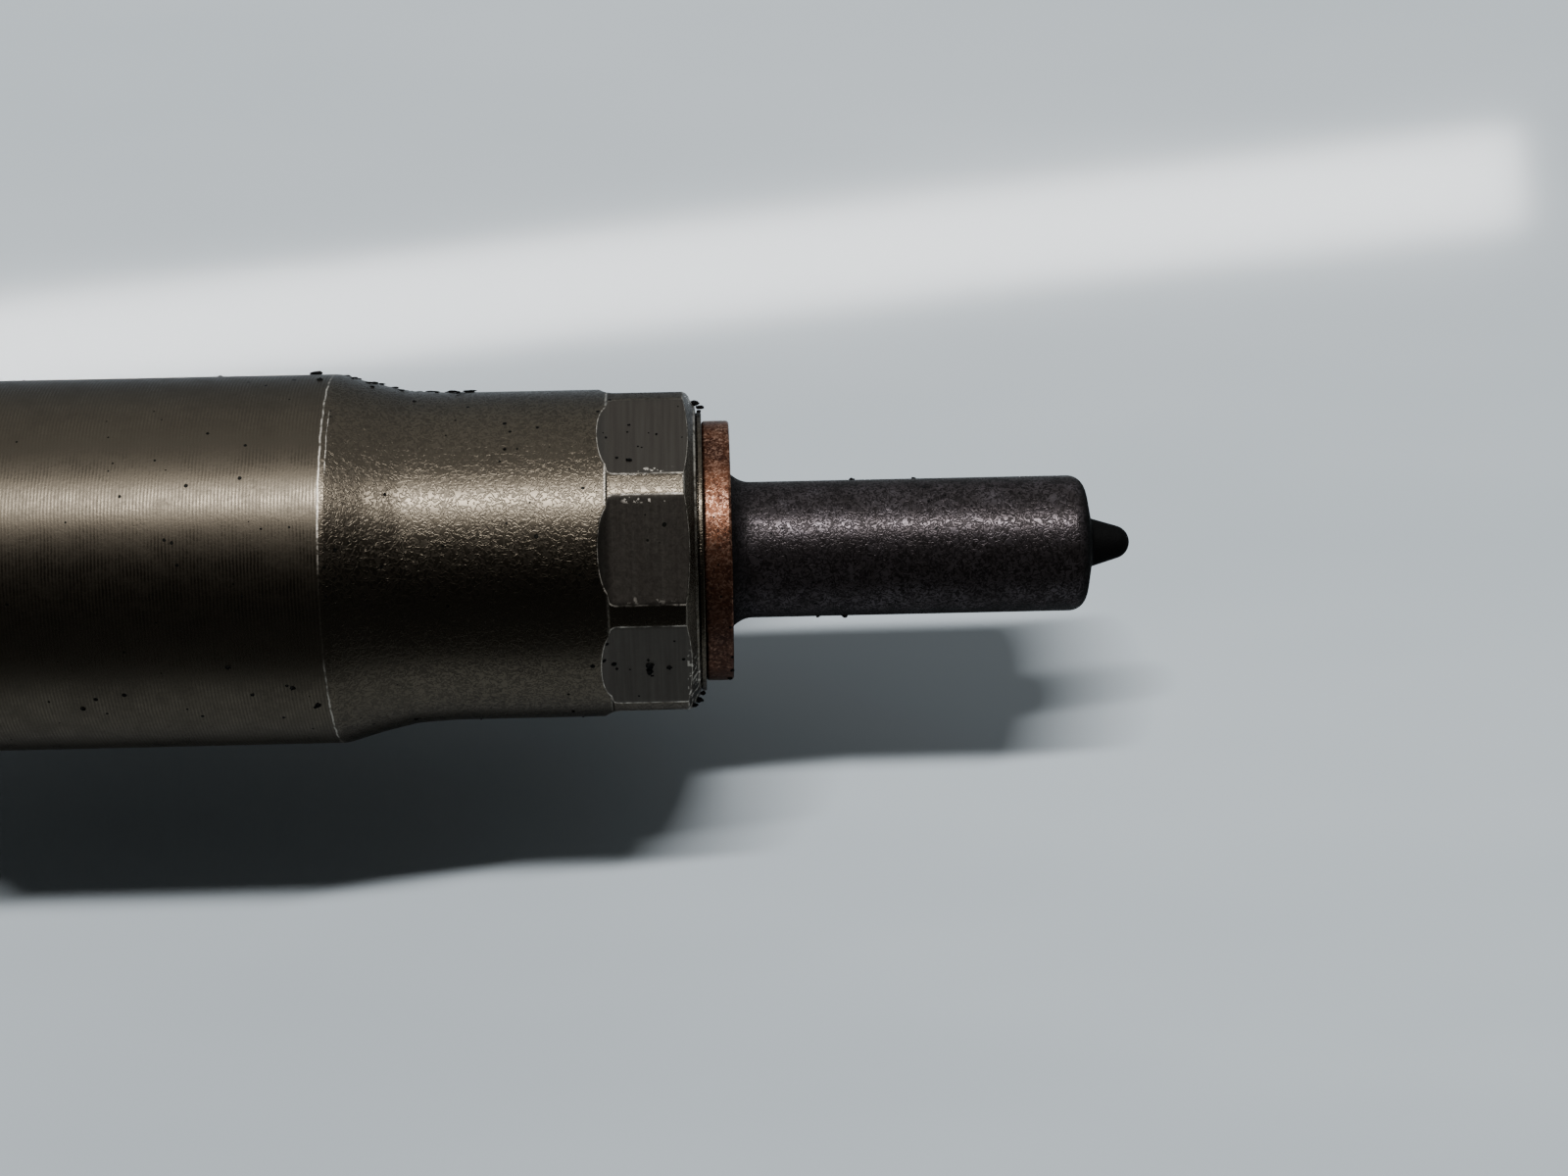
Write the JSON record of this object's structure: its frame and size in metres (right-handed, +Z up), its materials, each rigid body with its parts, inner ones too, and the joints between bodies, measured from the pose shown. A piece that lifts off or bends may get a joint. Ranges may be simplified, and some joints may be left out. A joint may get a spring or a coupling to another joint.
{
  "type": "common-rail fuel injector",
  "caption": "Solenoid diesel injector: thin nozzle stem with conical tip, copper sealing washer, octagonal nozzle nut, forged body, side fuel inlet, solenoid nut and plug.",
  "frame": {"origin": "centre of the sealing washer's seat face, on the injector's axis, where the injector bottoms in the cylinder head", "axes": "+X along the injector's axis towards the nozzle tip, +Y along the fuel inlet connector, +Z up as the injector lies in the picture"},
  "size_m": [0.1916, 0.067, 0.025],
  "materials": {
    "nozzle_steel": "hardened tool steel, blackened by soot, satin",
    "needle_steel": "ground and lapped",
    "copper": "copper, stained by soot, matt",
    "nut_steel": "dark phosphated steel, worn bright along its edges, with a fine blasted grain",
    "body_steel": "forged and machined steel, phosphated grey",
    "bright_steel": "ground bearing steel",
    "spring_steel": "cold-drawn wire, satin",
    "plated_steel": "zinc-plated steel",
    "magnet_iron": "sintered soft iron",
    "winding": "enamelled copper wire",
    "bobbin_plastic": "natural moulded plastic",
    "seal_plastic": "filled sealing plastic",
    "seal_rubber": "black rubber",
    "housing_plastic": "black glass-filled plastic",
    "terminal_tin": "tin-plated brass"
  },
  "bodies": {
    "injector": {"nozzle_body": "nozzle_steel", "sealing_washer": "copper", "nozzle_nut": "nut_steel", "dowel_pins": "bright_steel", "nozzle_spring": "spring_steel", "spring_shim": "bright_steel", "injector_body": "body_steel", "leak_plug_ball": "bright_steel", "valve_piece": "bright_steel", "valve_seal_ring": "seal_plastic", "lift_shim": "bright_steel", "armature_guide": "bright_steel", "valve_clamp_nut": "body_steel", "armature_spring": "spring_steel", "air_gap_shim": "bright_steel", "magnet_core": "magnet_iron", "coil_bobbin": "bobbin_plastic", "coil_winding": "winding", "valve_spring": "spring_steel", "spring_force_shim": "bright_steel", "magnet_sleeve": "plated_steel", "magnet_o_ring": "seal_rubber", "return_stub": "plated_steel", "solenoid_nut": "body_steel", "connector_housing": "housing_plastic", "terminal_pins": "terminal_tin", "inlet_seal_ring": "plated_steel", "inlet_connector": "plated_steel", "edge_filter": "bright_steel"},
    "nozzle_needle": {"nozzle_needle": "needle_steel"},
    "thrust_piece": {"thrust_piece": "bright_steel"},
    "control_rod": {"control_piston": "bright_steel"},
    "servo_ball": {"valve_ball": "bright_steel", "ball_guide": "bright_steel"},
    "armature_bolt": {"armature_bolt": "bright_steel", "armature_clip": "spring_steel"},
    "armature_plate": {"armature_plate": "magnet_iron"}
  },
  "joints": [
    {"name": "needle_lift", "type": "slide", "parent": "injector", "child": "nozzle_needle", "axis": [-1, 0, 0], "range_m": [0, 0.00025], "stiffness_N_per_m": 25000, "springref_m": -0.0015, "deforming": ["nozzle_spring"]},
    {"name": "thrust_piece_lift", "type": "slide", "parent": "injector", "child": "thrust_piece", "axis": [-1, 0, 0], "range_m": [0, 0.00025]},
    {"name": "control_rod_lift", "type": "slide", "parent": "injector", "child": "control_rod", "axis": [-1, 0, 0], "range_m": [0, 0.00025]},
    {"name": "armature_lift", "type": "slide", "parent": "injector", "child": "armature_bolt", "axis": [-1, 0, 0], "range_m": [0, 0.00005], "stiffness_N_per_m": 20000, "springref_m": -0.0015, "deforming": ["valve_spring"]},
    {"name": "servo_ball_lift", "type": "slide", "parent": "injector", "child": "servo_ball", "axis": [-1, 0, 0], "range_m": [0, 0.00005]},
    {"name": "armature_overtravel", "type": "slide", "parent": "armature_bolt", "child": "armature_plate", "axis": [1, 0, 0], "range_m": [0, 0.0001], "stiffness_N_per_m": 4000, "springref_m": -0.0008, "deforming": ["armature_spring"]}
  ],
  "couplings": [
    {"joint": "thrust_piece_lift", "follows": "needle_lift", "ratio": 1},
    {"joint": "control_rod_lift", "follows": "needle_lift", "ratio": 1},
    {"joint": "servo_ball_lift", "follows": "armature_lift", "ratio": 1}
  ]
}
